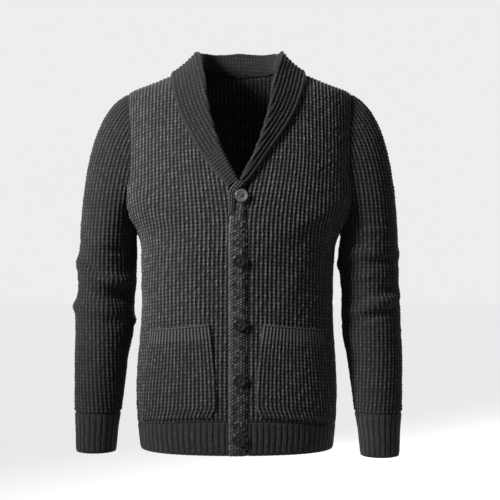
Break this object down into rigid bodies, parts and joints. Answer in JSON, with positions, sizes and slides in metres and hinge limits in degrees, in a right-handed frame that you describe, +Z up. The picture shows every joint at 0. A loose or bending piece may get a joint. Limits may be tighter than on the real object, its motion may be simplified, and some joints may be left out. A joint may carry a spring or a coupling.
{
  "type": "shawl-collar button cardigan, worn with nothing inside",
  "caption": "Chunky rib-knit cardigan with a shawl collar, V opening, button front, two patch pockets, ribbed hem and ribbed cuffs, shaped as worn.",
  "frame": {"origin": "middle of the back neck seam, where the wearer's nape carries the cardigan", "axes": "+Z up, the front faces -Y, +X is the wearer's left"},
  "size_m": [0.6047, 0.2512, 0.7559],
  "materials": {
    "charcoal_knit": "thick matt wool-blend half-cardigan knit",
    "charcoal_rib": "matt wool-blend rib",
    "black_button": "polished black"
  },
  "bodies": {
    "root": {"back": "charcoal_knit", "left_front": "charcoal_knit", "right_front": "charcoal_knit", "left_sleeve": "charcoal_knit", "right_sleeve": "charcoal_knit", "left_cuff": "charcoal_rib", "right_cuff": "charcoal_rib", "back_hem_rib": "charcoal_rib", "left_hem_rib": "charcoal_rib", "right_hem_rib": "charcoal_rib", "shawl_collar": "charcoal_rib", "buttonhole_band": "charcoal_rib", "button_band": "charcoal_rib", "left_pocket": "charcoal_knit", "right_pocket": "charcoal_knit", "left_pocket_rib": "charcoal_rib", "right_pocket_rib": "charcoal_rib", "button_1": "black_button", "button_2": "black_button", "button_3": "black_button", "button_4": "black_button", "button_5": "black_button"}
  },
  "joints": []
}
